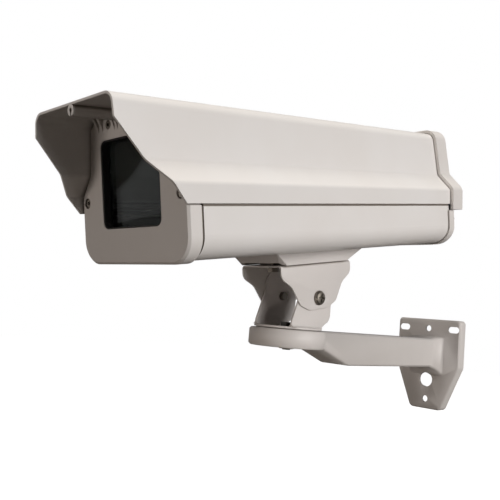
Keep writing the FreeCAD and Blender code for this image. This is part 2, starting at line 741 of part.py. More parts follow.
def gland_caps():
    """Hexagon skirt with a cone end, bored for the cable."""
    solids = []
    at = LOWER_END + GLAND_FLANGE + SLEEVE_GAP
    half = GLAND_HEX - SLEEVE_GAP
    room = GLAND_OUT - GLAND_FLANGE + CAPS_APART
    for u, w in gland_places():
        skirt = hexagon(half, V(u, at, w), V(0, GLAND_SKIRT, 0), 30)
        cone = turned([(0, 0), (half, 0), (SEAL_R + 1, GLAND_DOME), (0, GLAND_DOME)],
                      V(u, at + GLAND_SKIRT, w), V(0, 1, 0))
        inside = rod(GLAND_R + TIGHT, V(u, at, w), V(0, room, 0))
        mouth = rod(MOUTH_R, V(u, at, w), V(0, GLAND_SKIRT + GLAND_DOME, 0))
        solids.append(joined([skirt, cone]).cut(joined([inside, mouth])))
    return Part.makeCompound(solids)


def gland_seals():
    solids = []
    for u, w in gland_places():
        start = V(u, LOWER_END + GLAND_FLANGE / 2, w)
        along = V(0, GLAND_OUT - GLAND_FLANGE / 2, 0)
        solids.append(rod(SEAL_R - TIGHT, start, along).cut(rod(BORE_R - 1, start, along)))
    return Part.makeCompound(solids)


def gland_locknuts():
    solids = []
    seat = LOWER_END - CAP_WALL
    for u, w in gland_places():
        nut = hexagon(GLAND_HEX, V(u, seat - GLAND_FLANGE, w), V(0, GLAND_FLANGE, 0), 30)
        solids.append(nut.cut(rod(GLAND_R + TIGHT, V(u, seat - GLAND_FLANGE, w), V(0, GLAND_FLANGE, 0))))
    return Part.makeCompound(solids)


# saddle and upper clevis

def saddle_bolts():
    return [PIVOT_V - SADDLE_BOLT_V, PIVOT_V + SADDLE_BOLT_V]


def saddle():
    side = [(PIVOT_V - SADDLE_TOP_FRONT, TRAY_BOTTOM, 0), (PIVOT_V + SADDLE_TOP_REAR, TRAY_BOTTOM, 0),
            (PIVOT_V + SADDLE_REAR, SADDLE_LOW, 3.0), (PIVOT_V - SADDLE_FRONT, SADDLE_LOW, 3.0)]
    block = prism(side, sideways(-SADDLE_HALF), V(2 * SADDLE_HALF, 0, 0))
    recess_half = SADDLE_HALF - 5
    cuts = [box(-recess_half, recess_half, PIVOT_V - SADDLE_TOP_FRONT, PIVOT_V - SADDLE_BOLT_V + BOLT_HEX,
                SADDLE_LOW - 1, SADDLE_LOW + 2.5)]
    for v in saddle_bolts():
        cuts.append(rod(BOLT_HOLE, V(0, v, SADDLE_LOW - 1), V(0, 0, 2 * SADDLE_TALL)))
    return block.cut(Part.makeCompound(cuts))


def upper_clevis():
    """Folded yoke, drawn about the pivot."""
    outer = mirrored([(UPPER_HALF, UPPER_TOP, BEND_R), (UPPER_HALF, EAR_LOW - 3, 0)])
    inner = mirrored([(UPPER_HALF - PLATE, UPPER_TOP - PLATE, BEND_R - PLATE),
                      (UPPER_HALF - PLATE, EAR_LOW - 6, 0)])
    long = V(0, 2 * UPPER_LENGTH, 0)
    fold = prism(outer, across(-UPPER_LENGTH), long).cut(prism(inner, across(-UPPER_LENGTH), long))
    right = [(UPPER_LENGTH, UPPER_TOP + 2, 0), (UPPER_LENGTH, 21.0, 6.0), (36.5, 13.0, 12.0),
             (19.6, EAR_LOW, 13.0)]
    yoke = fold.common(prism(mirrored(right), sideways(-FAR), V(2 * FAR, 0, 0)))
    yoke = yoke.cut(rod(PIN_R + FIT, V(-FAR, 0, 0), V(2 * FAR, 0, 0)))
    for v in saddle_bolts():
        yoke = yoke.cut(rod(BOLT_HOLE, V(0, v - PIVOT_V, UPPER_TOP - 2 * PLATE), V(0, 0, 3 * PLATE)))
    return yoke


def saddle_screws():
    under = SADDLE_LOW - PLATE
    reach = PLATE + SADDLE_TALL + WALL + 2 * BOLT_R
    return Part.makeCompound([hex_screw(V(0, v, under), V(0, 0, 1), reach, BOLT_R, BOLT_HEX, 4.0)
                              for v in saddle_bolts()])


def saddle_nuts():
    floor = TRAY_BOTTOM + WALL
    tall = V(0, 0, 5.0)
    return Part.makeCompound([hexagon(BOLT_HEX, V(0, v, floor), tall).cut(
        rod(BOLT_R + TIGHT, V(0, v, floor), tall)) for v in saddle_bolts()])


# lower clevis and swivel

def lower_clevis():
    """Cast yoke: two ears on a round base, drawn about the pivot."""
    flare = 3.6
    inner = EAR_HALF - PLATE
    outer = [(EAR_HALF, EAR_TOP_R + 4, 0), (EAR_HALF, BASE_TOP, flare), (BASE_R + 4, BASE_TOP, 0),
             (BASE_R + 4, DISC_TOP, 0)]
    loop = mirrored(outer) + [(-inner, EAR_TOP_R + 4, 0), (-inner, BASE_TOP, flare),
                              (inner, BASE_TOP, flare), (inner, EAR_TOP_R + 4, 0)]
    solid = prism(loop, across(-2 * BASE_R), V(0, 4 * BASE_R, 0))
    disc = rod(BASE_R, V(0, SWIVEL_S, DISC_TOP), V(0, 0, BASE_THICK))
    side = [(-35.2, BASE_TOP, 0), (-35.2, -24.0, 6.0), (-26.8, 0.0, 14.0),
            (-22.0, 27.0, 19.0), (20.5, 27.0, 19.0), (21.4, -20.0, 12.0), (9.0, BASE_TOP, 0)]
    wide = EAR_HALF + flare
    ears = prism(side, sideways(-wide), V(2 * wide, 0, 0))
    clevis = solid.common(joined([disc, ears]))
    clevis = clevis.cut(rod(PIN_R + TIGHT / 2, V(-2 * BASE_R, 0, 0), V(4 * BASE_R, 0, 0)))
    return clevis.cut(rod(PIN_R + TIGHT / 2, V(0, SWIVEL_S, DISC_TOP - 1), V(0, 0, 3 * BASE_THICK)))


def tilt_screws():
    """Pivot screws: through the outer yoke with play, threaded into the inner ears."""
    reach = PLATE + SIDE_PLAY + PLATE + FIT + 2.0
    return Part.makeCompound([pan_screw(V(side * (UPPER_HALF + FIT), 0, 0), V(-side, 0, 0), reach,
                                        PIN_R, PAN_R, PAN_TALL) for side in (1, -1)])


def swivel_bolt():
    top = V(0, SWIVEL_S, BASE_TOP)
    long = BASE_THICK + DISC_THICK + WALL + 1
    return joined([rod(PIN_R, top, V(0, 0, -long)), hexagon(NUT_HEX, top, V(0, 0, 3.9))])


def swivel_washer():
    seat = DISC_TOP - DISC_THICK + NUT_POCKET
    ring = rod(NUT_HEX + 2.1, V(0, SWIVEL_S, seat), V(0, 0, -WASHER))
    return ring.cut(rod(PIN_R + 0.2, V(0, SWIVEL_S, seat + 1), V(0, 0, -2 * WASHER)))


def swivel_nut():
    seat = DISC_TOP - DISC_THICK + NUT_POCKET - WASHER
    nut = hexagon(NUT_HEX, V(0, SWIVEL_S, seat), V(0, 0, -NUT_TALL))
    return nut.cut(rod(PIN_R + TIGHT / 2, V(0, SWIVEL_S, seat), V(0, 0, -NUT_TALL)))


# arm, disc and wall plate, one casting

def plate_corners():
    return mirrored([(PLATE_HALF, PLATE_TOP, 4.5), (PLATE_HALF, PLATE_BREAK, 8.0),
                     (PLATE_LOW_HALF, PLATE_LOW, 7.0)])


def wall_slots(grow, y0, y1):
    """Slot-shaped plugs for the two fixing slots."""
    r = HOLE_R + grow
    solids = []
    for side in (1, -1):
        reach = SLOT_LONG / 2 - HOLE_R
        mid = side * SLOT_U
        solids += [rod(r, V(mid + end * reach, y0, 0), V(0, y1 - y0, 0)) for end in (1, -1)]
        solids.append(box(mid - reach, mid + reach, y0, y1, -r, r))
    return joined(solids)


def wall_plate(low):
    """Dished plate with a rim, and a pad behind each fixing hole."""
    plate = prism(plate_corners(), across(-RIM), V(0, RIM, 0))
    front = [e for e in plate.Edges if e.BoundBox.YMax < 0.01 - RIM]
    plate = plate.makeChamfer(PLATE_BREAK_EDGE, front)
    hollow = prism(plate_corners(), across(-RIM + WEB), V(0, RIM, 0), -RIM_WALL)
    pads = [wall_slots(PAD_EDGE, -RIM + WEB, 0)]
    for z in (0.0, HOLE_LOW_Z):
        pads.append(rod(HOLE_R + PAD_EDGE, V(0, -RIM + WEB, z), V(0, RIM - WEB, 0)))
    pads.append(box(-CABLE_FLAT - 3, -CABLE_FLAT, -RIM + WEB, -1.0, HOLE_LOW_Z, low))
    return plate.cut(hollow.cut(joined(pads)))


def wall_arm():
    disc_y = PIVOT_Y + SWIVEL_S
    top = PIVOT_Z + DISC_TOP
    low = top - ARM_DEEP
    disc = rod(DISC_R, V(0, disc_y, top), V(0, 0, -DISC_THICK))
    disc = disc.makeChamfer(DISC_BREAK, [e for e in disc.Edges if e.Curve.TypeId == "Part::GeomCircle"])
    body = joined([disc, arm_bar(top, low), arm_foot(top, low), wall_plate(low)])
    cuts = [arm_core(top, low), wall_slots(0, -RIM - 1, 1)]
    for z in (0.0, HOLE_LOW_Z):
        cuts.append(rod(HOLE_R, V(0, -RIM - 1, z), V(0, RIM + 2, 0)))
    cable = rod(CABLE_R, V(0, -RIM - WEB, CABLE_Z), V(0, RIM + WEB + 1, 0))
    cuts.append(cable.cut(box(-2 * CABLE_R, -CABLE_FLAT, -2 * RIM, RIM, CABLE_Z - CABLE_R, CABLE_Z + CABLE_R)))
    cuts.append(rod(PIN_R + FIT, V(0, disc_y, top + 1), V(0, 0, -2 * DISC_THICK)))
    cuts.append(rod(POCKET_R, V(0, disc_y, top - DISC_THICK + NUT_POCKET), V(0, 0, -DISC_THICK)))
    return body.cut(joined(cuts))


def arm_bar(top, low):
    """Box-section bar, shallow under the disc and deep toward the wall."""
    disc_y = PIVOT_Y + SWIVEL_S
    shallow = top - DISC_THICK
    side = [(disc_y, top, 0), (-RIM + 1, top, 0), (-RIM + 1, low, 0),
            (PIVOT_Y + ARM_SLOPE_TO, low, 20.0),
            (PIVOT_Y + ARM_SLOPE_FROM, shallow, 12.0), (disc_y, shallow, 0)]
    bar = prism(side, sideways(-ARM_HALF), V(2 * ARM_HALF, 0, 0))
    long = [e for e in bar.Edges if e.BoundBox.YLength > 6 and e.BoundBox.XLength < 0.01
            and e.CenterOfMass.y > disc_y + 2]
    return bar.makeChamfer(ARM_BREAK, long)


def arm_foot(top, low):
    """The arm widens sideways and downward before it meets the plate."""
    start = -RIM - FLARE_LONG
    bend = -RIM - FLARE_LONG * 0.4
    end = -RIM + 1
    plan = mirrored([(ARM_HALF + FLARE_SIDE, end, 0), (ARM_HALF + FLARE_SIDE * 0.3, bend, FLARE_R),
                     (ARM_HALF - 0.05, start, 0)])
    side = [(start, top - 0.05, 0), (end, top + FLARE_UP, 0), (end, low - FLARE_DOWN, 0),
            (bend, low - FLARE_DOWN * 0.3, FLARE_R), (start, low + 0.05, 0)]
    wide = prism(plan, level(low - 2 * FLARE_DOWN), V(0, 0, 2 * ARM_DEEP + 2 * FLARE_DOWN))
    tall = prism(side, sideways(-2 * ARM_HALF), V(4 * ARM_HALF, 0, 0))
    foot = wide.common(tall)
    long = [e for e in foot.Edges if e.BoundBox.YLength > FLARE_LONG / 4]
    return foot.makeChamfer(ARM_BREAK, long)


def arm_core(top, low):
    """Pocket that hollows the arm from the wall side."""
    half = ARM_HALF - ARM_WALL
    start = PIVOT_Y + CORE_FROM
    ends = [(half, top - ARM_WALL, 3.0), (half, low + ARM_WALL, 3.0),
            (-half, low + ARM_WALL, 3.0), (-half, top - ARM_WALL, 3.0)]
    return prism(ends, across(start), V(0, 1 - start, 0))


# camera plate

def table_screws():
    return [(side * (RAIL_U - RAIL_THICK / 2), TABLE_MID) for side in (1, -1)]


def camera_plate():
    plan = [(TABLE_HALF, TABLE_FRONT + TABLE_LONG, 5.0), (TABLE_HALF, TABLE_FRONT, 5.0),
            (-TABLE_HALF, TABLE_FRONT, 5.0), (-TABLE_HALF, TABLE_FRONT + TABLE_LONG, 5.0)]
    plate = prism(plan, level(TABLE_W), V(0, 0, TABLE_THICK))
    cuts = [slot(u, v - SLIDE, v + SLIDE, THREAD_R + SLEEVE_GAP) for u, v in table_screws()]
    cuts.append(slot(0, TABLE_MID - 3 * SLIDE, TABLE_MID + 3 * SLIDE, STUD_R + EDGE_GAP))
    return plate.cut(Part.makeCompound(cuts))


def slot(u, v0, v1, r):
    body = box(u - r, u + r, v0, v1, TABLE_W - 1, TABLE_W + TABLE_THICK + 1)
    caps = [rod(r, V(u, v, TABLE_W - 1), V(0, 0, TABLE_THICK + 2)) for v in (v0, v1)]
    return joined([body] + caps)


def plate_screws():
    """Thumb screws that clamp the camera plate to the rails."""
    top = TABLE_W + TABLE_THICK + FIT
    solids = []
    for u, v in table_screws():
        knob = rod(THUMB_R, V(u, v, top), V(0, 0, THUMB_TALL))
        thread = shank(THREAD_R - TIGHT, V(u, v, top + 1), V(0, 0, -RAIL_TALL - 1))
        solids.append(joined([knob, thread]))
    return Part.makeCompound(solids)


def camera_screw():
    """Slotted screw under the plate, its stud takes the camera."""
    under = V(0, TABLE_MID, TABLE_W)
    tall = 3.6
    screw = joined([rod(THUMB_R, under, V(0, 0, -tall)),
                    rod(STUD_R, under - V(0, 0, 1), V(0, 0, TABLE_THICK + 7.0))])
    bar = box(-THUMB_R + 1.5, THUMB_R - 1.5, TABLE_MID - 0.7, TABLE_MID + 0.7, TABLE_W - tall - 1,
              TABLE_W - tall + 1.2)
    return screw.cut(bar)


HOUSING = {
    "hood": hood, "tray": tray, "seam_gasket": seam_gasket,
    "front_bezel": front_bezel, "bezel_screws": bezel_screws, "top_screw": top_screw,
    "bezel_seal": bezel_seal, "window_gasket": window_gasket, "window_glass": window_glass,
    "window_retainer": window_retainer, "retainer_screws": retainer_screws,
    "rear_upper_cap": rear_upper_cap, "upper_cap_screws": upper_cap_screws,
    "lock_screw": lock_screw, "rear_lower_cap": rear_lower_cap,
    "lower_cap_screws": lower_cap_screws, "gland_bodies": gland_bodies,
    "gland_caps": gland_caps, "gland_seals": gland_seals, "gland_locknuts": gland_locknuts,
    "saddle": saddle, "saddle_screws": saddle_screws, "saddle_nuts": saddle_nuts,
    "camera_plate": camera_plate, "plate_screws": plate_screws, "camera_screw": camera_screw,
}
PIVOTED = {
    "lower_clevis": lower_clevis, "tilt_screws": tilt_screws, "swivel_bolt": swivel_bolt,
    "swivel_washer": swivel_washer, "swivel_nut": swivel_nut,
}


def upper_clevis_placed():
    moved = upper_clevis()
    moved.translate(V(0, PIVOT_V, PIVOT_W))
    return tilted(moved)


def main():
    os.makedirs("parts", exist_ok=True)
    shapes = {"wall_arm": wall_arm(), "upper_clevis": upper_clevis_placed()}
    for name, make in HOUSING.items():
        shapes[name] = tilted(make())
    for name, make in PIVOTED.items():
        shapes[name] = pivoted(make())
    for name, shape in shapes.items():
        shape.exportStep("parts/" + name + ".step")


main()
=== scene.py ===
import bmesh
import bpy
import json
import math
from mathutils import Matrix, Vector


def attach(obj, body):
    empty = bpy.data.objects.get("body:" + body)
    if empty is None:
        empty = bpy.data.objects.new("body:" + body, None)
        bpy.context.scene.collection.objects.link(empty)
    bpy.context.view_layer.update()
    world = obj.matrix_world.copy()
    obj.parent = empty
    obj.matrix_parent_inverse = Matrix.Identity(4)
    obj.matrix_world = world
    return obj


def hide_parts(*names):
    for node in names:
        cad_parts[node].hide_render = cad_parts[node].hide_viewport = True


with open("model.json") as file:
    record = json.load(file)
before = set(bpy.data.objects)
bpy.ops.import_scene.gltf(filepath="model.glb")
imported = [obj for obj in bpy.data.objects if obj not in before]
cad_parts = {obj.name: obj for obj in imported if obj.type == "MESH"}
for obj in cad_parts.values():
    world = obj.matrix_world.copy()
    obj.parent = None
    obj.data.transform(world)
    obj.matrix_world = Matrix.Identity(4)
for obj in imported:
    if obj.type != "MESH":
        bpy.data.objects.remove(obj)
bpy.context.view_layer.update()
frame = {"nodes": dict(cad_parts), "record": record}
MM = 0.001

# how bright the room is where it only lights, and where it is mirrored
AMBIENT = 0.05
MIRRORED = 0.30


# colour and nodes

def hex_colour(text):
    """sRGB hex to linear RGBA."""
    channels = []
    for i in (0, 2, 4):
        c = int(text[i:i + 2], 16) / 255
        channels.append(c / 12.92 if c <= 0.04045 else ((c + 0.055) / 1.055) ** 2.4)
    return (*channels, 1.0)


def add(material, kind, links=(), **settings):
    """Adds a node, sets its properties and inputs, and links inputs to (node, output) pairs."""
    node = material.node_tree.nodes.new(kind)
    for name, value in settings.items():
        if hasattr(node, name):
            setattr(node, name, value)
        else:
            node.inputs[name.replace("_", " ")].default_value = value
    for name, (source, output) in dict(links).items():
        material.node_tree.links.new(source.outputs[output], node.inputs[name])
    return node


def new_material(name):
    """An empty material, ready for its nodes."""
    material = bpy.data.materials.new(name)
    material.use_nodes = True
    material.node_tree.nodes.clear()
    return material


def finish_surface(material, shader):
    """Joins the shader to the output."""
    add(material, "ShaderNodeOutputMaterial", {"Surface": (shader, 0)})
    return material


def powder_coat(name, light, dark, corner_shade, roughness, peel_mm, peel_depth_mm):
    """Baked powder paint: even colour with faint clouds, the orange peel of the melt, edges that the
    thick coat rounds off, and painted shade, a darker colour laid into inside corners and where two pieces
    meet."""
    m = new_material(name)
    place = add(m, "ShaderNodeTexCoord")
    # clouds about 70 mm across, as the paint varies a little in thickness
    clouds = add(m, "ShaderNodeTexNoise", {"Vector": (place, "Object")}, Scale=1 / (70 * MM), Detail=3.0)
    tone = add(m, "ShaderNodeValToRGB", {"Fac": (clouds, "Fac")})
    tone.color_ramp.elements[0].position = 0.3
    tone.color_ramp.elements[0].color = hex_colour(dark)
    tone.color_ramp.elements[1].position = 0.7
    tone.color_ramp.elements[1].color = hex_colour(light)
    # the real peel is about 1 mm across and would vanish at this size, so it is drawn coarser
    peel = add(m, "ShaderNodeTexNoise", {"Vector": (place, "Object")}, Scale=1 / (peel_mm * MM), Detail=2.0)
    round_edge = add(m, "ShaderNodeBevel", samples=4, Radius=0.7 * MM)
    bump = add(m, "ShaderNodeBump", {"Height": (peel, "Fac"), "Normal": (round_edge, "Normal")},
               Strength=0.35, Distance=peel_depth_mm * MM)
    # painted shade: a darker colour in a narrow band along inside corners, where the surface is occluded
    corner = add(m, "ShaderNodeAmbientOcclusion", samples=8, Distance=5 * MM)
    shade_mask = add(m, "ShaderNodeMapRange", {"Value": (corner, "AO")}, From_Min=0.25, From_Max=0.75,
                  To_Min=0.75, To_Max=0.0)
    shaded_tone = add(m, "ShaderNodeMixRGB", {"Fac": (shade_mask, "Result"), "Color1": (tone, "Color")},
                Color2=hex_colour(corner_shade))
    shader = add(m, "ShaderNodeBsdfPrincipled", {"Base Color": (shaded_tone, "Color"), "Normal": (bump, "Normal")},
                 Roughness=roughness, IOR=1.48)
    return finish_surface(m, shader)


def plated_steel(name, colour, roughness, grain_mm):
    """Plated or stainless steel with a fine cloudy grain."""
    m = new_material(name)
    place = add(m, "ShaderNodeTexCoord")
    grain = add(m, "ShaderNodeTexNoise", {"Vector": (place, "Object")}, Scale=1 / (grain_mm * MM), Detail=4.0)
    spread = add(m, "ShaderNodeMapRange", {"Value": (grain, "Fac")}, To_Min=roughness - 0.08,
                 To_Max=roughness + 0.10)
    bump = add(m, "ShaderNodeBump", {"Height": (grain, "Fac")}, Strength=0.15, Distance=0.03 * MM)
    shader = add(m, "ShaderNodeBsdfPrincipled", {"Roughness": (spread, "Result"), "Normal": (bump, "Normal")},
                 Metallic=1.0, Base_Color=hex_colour(colour))
    return finish_surface(m, shader)


def moulded(name, colour, roughness, grain_mm, depth_mm):
    """Moulded rubber or nylon with a fine matt grain."""
    m = new_material(name)
    place = add(m, "ShaderNodeTexCoord")
    grain = add(m, "ShaderNodeTexNoise", {"Vector": (place, "Object")}, Scale=1 / (grain_mm * MM), Detail=3.0)
    spread = add(m, "ShaderNodeMapRange", {"Value": (grain, "Fac")}, To_Min=roughness - 0.08,
                 To_Max=roughness + 0.08)
    bump = add(m, "ShaderNodeBump", {"Height": (grain, "Fac")}, Strength=0.3, Distance=depth_mm * MM)
    shader = add(m, "ShaderNodeBsdfPrincipled", {"Roughness": (spread, "Result"), "Normal": (bump, "Normal")},
                 Base_Color=hex_colour(colour))
    return finish_surface(m, shader)


def mill_aluminium():
    """Bare rolled aluminium sheet: fine lines along the rolling direction."""
    m = new_material("mill_finish_aluminium")
    place = add(m, "ShaderNodeTexCoord")
    stretch = add(m, "ShaderNodeMapping", {"Vector": (place, "Object")}, Scale=(1.0, 0.04, 1.0))
    lines = add(m, "ShaderNodeTexNoise", {"Vector": (stretch, "Vector")}, Scale=1 / (0.8 * MM), Detail=3.0)
    spread = add(m, "ShaderNodeMapRange", {"Value": (lines, "Fac")}, To_Min=0.32, To_Max=0.5)
    bump = add(m, "ShaderNodeBump", {"Height": (lines, "Fac")}, Strength=0.1, Distance=0.02 * MM)
    shader = add(m, "ShaderNodeBsdfPrincipled", {"Roughness": (spread, "Result"), "Normal": (bump, "Normal")},
                 Metallic=1.0, Base_Color=hex_colour("C9C8C6"))
    return finish_surface(m, shader)


def float_glass():
    """Clear float glass with a dark grey tint that paints the shade inside the housing, and a film of dust in
    faint patches.
    """
    m = new_material("float_glass")
    place = add(m, "ShaderNodeTexCoord")
    dust = add(m, "ShaderNodeTexNoise", {"Vector": (place, "Object")}, Scale=1 / (25 * MM), Detail=5.0)
    film = add(m, "ShaderNodeMapRange", {"Value": (dust, "Fac")}, From_Min=0.45, To_Min=0.0, To_Max=0.05)
    shader = add(m, "ShaderNodeBsdfPrincipled", {"Roughness": (film, "Result")}, IOR=1.35,
                 Base_Color=hex_colour("8E9290"), Transmission_Weight=1.0)
    return finish_surface(m, shader)


# What each gives the eye. Paints: a calm warm grey-white, smoother on the extrusions than on the castings.
# Steels: small glints on the screw heads, dark for the oxide. Rubber and nylon: matt dark or grey joints.
# Aluminium: brushed lines inside. Glass: a dark window with a faint film.
FINISHES = {
    # the third colour of each paint is the painted shade laid into inside corners and joints
    "cream_coat": powder_coat("powder_coated_extrusion", "DEDBDA", "DBD7D5", "8C8176", 0.33, 3.0, 0.05),
    "cast_coat": powder_coat("powder_coated_casting", "D5D1CF", "D0CBC8", "857A6F", 0.46, 2.2, 0.09),
    "bracket_coat": powder_coat("powder_coated_bracket", "CDC8C6", "C7C2BF", "7A6F64", 0.48, 2.2, 0.10),
    "zinc_steel": plated_steel("zinc_plated_steel", "7C766E", 0.42, 1.5),
    "stainless": plated_steel("stainless_steel", "8F8A83", 0.38, 1.2),
    "knurled_steel": plated_steel("knurled_steel", "97938A", 0.40, 0.8),
    "black_steel": moulded("black_oxide_steel", "1C1A18", 0.42, 1.5, 0.03),
    "black_rubber": moulded("epdm_rubber", "141312", 0.72, 1.2, 0.05),
    "grey_rubber": moulded("silicone_strip", "6E665E", 0.66, 1.2, 0.05),
    "gland_plastic": moulded("glass_filled_nylon", "24241F", 0.5, 1.0, 0.04),
    "bare_aluminium": mill_aluminium(),
    "window": float_glass(),
}

# the bracket's castings wear a slightly darker paint, and the strips in the joints are grey
OTHER_FINISH = {"wall_arm": "bracket_coat", "lower_clevis": "bracket_coat", "upper_clevis": "bracket_coat",
                "saddle": "bracket_coat", "bezel_seal": "grey_rubber", "seam_gasket": "grey_rubber"}


def dress_nodes():
    """Gives every CAD piece the finish of its slot, apart from the few listed above."""
    slots = {s["node"]: s["material_slot"] for s in frame["record"]["subparts"]}
    for name, node in frame["nodes"].items():
        finish = FINISHES[OTHER_FINISH.get(name, slots[name])]
        if not node.material_slots:
            node.data.materials.append(finish)
        for place in node.material_slots:
            place.material = finish


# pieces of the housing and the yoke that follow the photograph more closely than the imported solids

# lengths of the pieces are in millimetres; the housing is tilted about the pivot of the yoke
PIVOT = Vector((0.0, -255.9, 20.0))
PIVOT_W = -86.2
TILT = Matrix.Rotation(math.radians(9.87), 3, "X")


def placed(name, data):
    """A new object in the scene."""
    piece = bpy.data.objects.new(name, data)
    bpy.context.collection.objects.link(piece)
    return piece


def own_piece(name, mesh, body, node):
    """A shown piece that stands for a CAD node and wears that node's finish."""
    piece = placed(name, mesh)
    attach(piece, body)
    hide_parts(node)
    mesh.materials.clear()
    mesh.materials.append(frame["nodes"][node].data.materials[0])
    return piece


def clear_normals(mesh):
    """The normals stored for the CAD shape no longer fit, so they are worked out anew."""
    mesh.normals_split_custom_set([(0.0, 0.0, 0.0)] * len(mesh.loops))


def smooth(mesh):
    """Smooth shading with hard edges kept."""
    mesh.shade_smooth()
    mesh.set_sharp_from_angle(angle=math.radians(30))


def reshaped(node, name, body, move):
    """Copies a housing piece and moves each point by what move gives for (u, v, w)."""
    mesh = frame["nodes"][node].data.copy()
    for vertex in mesh.vertices:
        at = TILT.transposed() @ (vertex.co / MM - PIVOT)
        at += Vector(move(at.x, at.y, at.z + PIVOT_W))
        vertex.co = (TILT @ at + PIVOT) * MM
    clear_normals(mesh)
    return own_piece(name, mesh, body, node)


def lower_shell():
    """The real tray is 2.4 mm shallower: its bottom comes up, the rails and channels stay."""
    start, bottom, lift = -18.5, -42.5, 2.4
    rail_half, rail_low = 41.0, -39.5
    saddle_low, front_end, rear_end = -45.0, -60.0, 55.0
    steeper, longer = 8.7, 5.3

    def shell(u, v, w):
        if w > start or (abs(u) < rail_half and w > rail_low):
            return (0.0, 0.0, 0.0)
        return (0.0, 0.0, lift * (start - w) / (start - bottom))

    def block(u, v, w):
        if w < saddle_low:
            return (0.0, 0.0, 0.0)
        # the slanted ends of the saddle: steeper in front, longer behind
        return (0.0, steeper if v < front_end else longer if v > rear_end else 0.0, lift)

    reshaped("tray", "tray_shell", "housing", shell)
    reshaped("rear_lower_cap", "rear_lower_casting", "housing", shell)
    reshaped("saddle", "saddle_block", "housing", block)
    reshaped("bezel_seal", "bezel_strip", "lid", shell)


def rounded(corners, steps=8):
    """Points of a closed outline whose corners (a, b, radius) are turned into arcs."""
    points = []
    for i, (a, b, r) in enumerate(corners):
        here = Vector((a, b))
        if r == 0:
            points.append(here)
            continue
        back = (Vector(corners[i - 1][:2]) - here).normalized()
        ahead = (Vector(corners[(i + 1) % len(corners)][:2]) - here).normalized()
        half = back.angle(ahead) / 2
        centre = here + (back + ahead).normalized() * (r / math.sin(half))
        first = here + back * (r / math.tan(half)) - centre
        turn = (here + ahead * (r / math.tan(half)) - centre).angle_signed(first)
        for k in range(steps + 1):
            swing = turn * k / steps
            points.append(centre + Vector((first.x * math.cos(swing) - first.y * math.sin(swing),
                                           first.x * math.sin(swing) + first.y * math.cos(swing))))
    return points


def prism(points, place, low, high):
    """Closed solid between two copies of an outline; place(a, b, depth) gives each corner."""
    shape = bmesh.new()
    ends = [[shape.verts.new(place(a, b, depth)) for a, b in points] for depth in (low, high)]
    shape.faces.new(ends[0])
    shape.faces.new(list(reversed(ends[1])))
    for i in range(len(points)):
        j = (i + 1) % len(points)
        shape.faces.new((ends[0][j], ends[0][i], ends[1][i], ends[1][j]))
    bmesh.ops.recalc_face_normals(shape, faces=shape.faces)
    mesh = bpy.data.meshes.new("prism")
    shape.to_mesh(mesh)
    shape.free()
    return placed("prism", mesh)


def pillar(radius, count, a, b, place, low, high):
    """Round prism about the point (a, b)."""
    return prism(shifted(ring(radius, count), a, b), place, low, high)


def block_cut(left, low, right, high, front, back):
    """Square prism along the arm."""
    corners = ((left, low), (right, low), (right, high), (left, high))
    return prism([Vector(p) for p in corners], along_y, front, back)


def combined(base, others, operation):
    """Joins, cuts or intersects solids; what went in is deleted."""
    for other in others:
        change = base.modifiers.new("solid", "BOOLEAN")
        change.operation = operation
        change.solver = "EXACT"
        change.object = other
        mesh = bpy.data.meshes.new_from_object(base.evaluated_get(bpy.context.evaluated_depsgraph_get()))
        base.modifiers.clear()
        base.data = mesh
        bpy.data.objects.remove(other)
    return base


def mirrored(right):
    """The right half of an outline, and its mirror image."""
    return right + [(-a, b, r) for a, b, r in reversed(right)]


def along_x(a, b, depth):
    return Vector((depth, a, b))


def along_y(a, b, depth):
    return Vector((a, depth, b))


def along_z(a, b, depth):
    return Vector((a, b, depth))


def ring(radius, count):
    return [Vector((radius * math.cos(2 * math.pi * k / count), radius * math.sin(2 * math.pi * k / count)))
            for k in range(count)]


def shifted(points, a, b):
    return [p + Vector((a, b)) for p in points]


def placed_yoke(solid, name, body, node, turn):
    """Rounds the edges of a yoke drawn about the pivot and sets it on the bracket."""
    edge = solid.modifiers.new("edge", "BEVEL")
    edge.width = EDGE_ROUND
    edge.segments = 2
    edge.limit_method = "ANGLE"
    edge.angle_limit = math.radians(35)
    mesh = bpy.data.meshes.new_from_object(solid.evaluated_get(bpy.context.evaluated_depsgraph_get()))
    bpy.data.objects.remove(solid)
    mesh.transform(Matrix.Scale(MM, 4) @ Matrix.Translation(PIVOT) @ turn.to_4x4())
    smooth(mesh)
    return own_piece(name, mesh, body, node)


def wall_bracket():
    """The cast arm; its plate is thinned from behind round the holes, so that they can be seen through."""
    shape = bmesh.new()
    shape.from_mesh(frame["nodes"]["wall_arm"].data)
    bmesh.ops.remove_doubles(shape, verts=shape.verts, dist=0.00001)
    bmesh.ops.scale(shape, vec=(1 / MM, 1 / MM, 1 / MM), verts=shape.verts)
    mesh = bpy.data.meshes.new("casting")
    shape.to_mesh(mesh)
    shape.free()
    casting = placed("casting", mesh)

    web_back, wall = -9.6, 1.0
    cable_r, cable_z, plate_front = 8.7, -62.7, -20.0
    cuts = [pillar(cable_r, 48, 0, cable_z, along_y, plate_front, wall)]
    for hole_z in (0.0, -86.0):
        cuts.append(pillar(8.4, 32, 0, hole_z, along_y, web_back, wall))
    # beside the cable hole, behind the slots, and the notch in the rim where the left slot is seen through
    cuts.append(block_cut(-10.5, -88, -4, -51, web_back, wall))
    cuts.append(block_cut(22.5, -8.3, 38.8, 7.3, web_back, wall))
    cuts.append(block_cut(-22.5, -8.3, -38.8, 7.3, web_back, wall))
    cuts.append(block_cut(-60, -4.2, -38, 5.6, web_back, wall))
    casting = combined(casting, cuts, "DIFFERENCE")
    mesh = casting.data.copy()
    bpy.data.objects.remove(casting)
    mesh.transform(Matrix.Scale(MM, 4))
    clear_normals(mesh)
    smooth(mesh)
    return own_piece("wall_bracket_casting", mesh, "wall_bracket", "wall_arm")


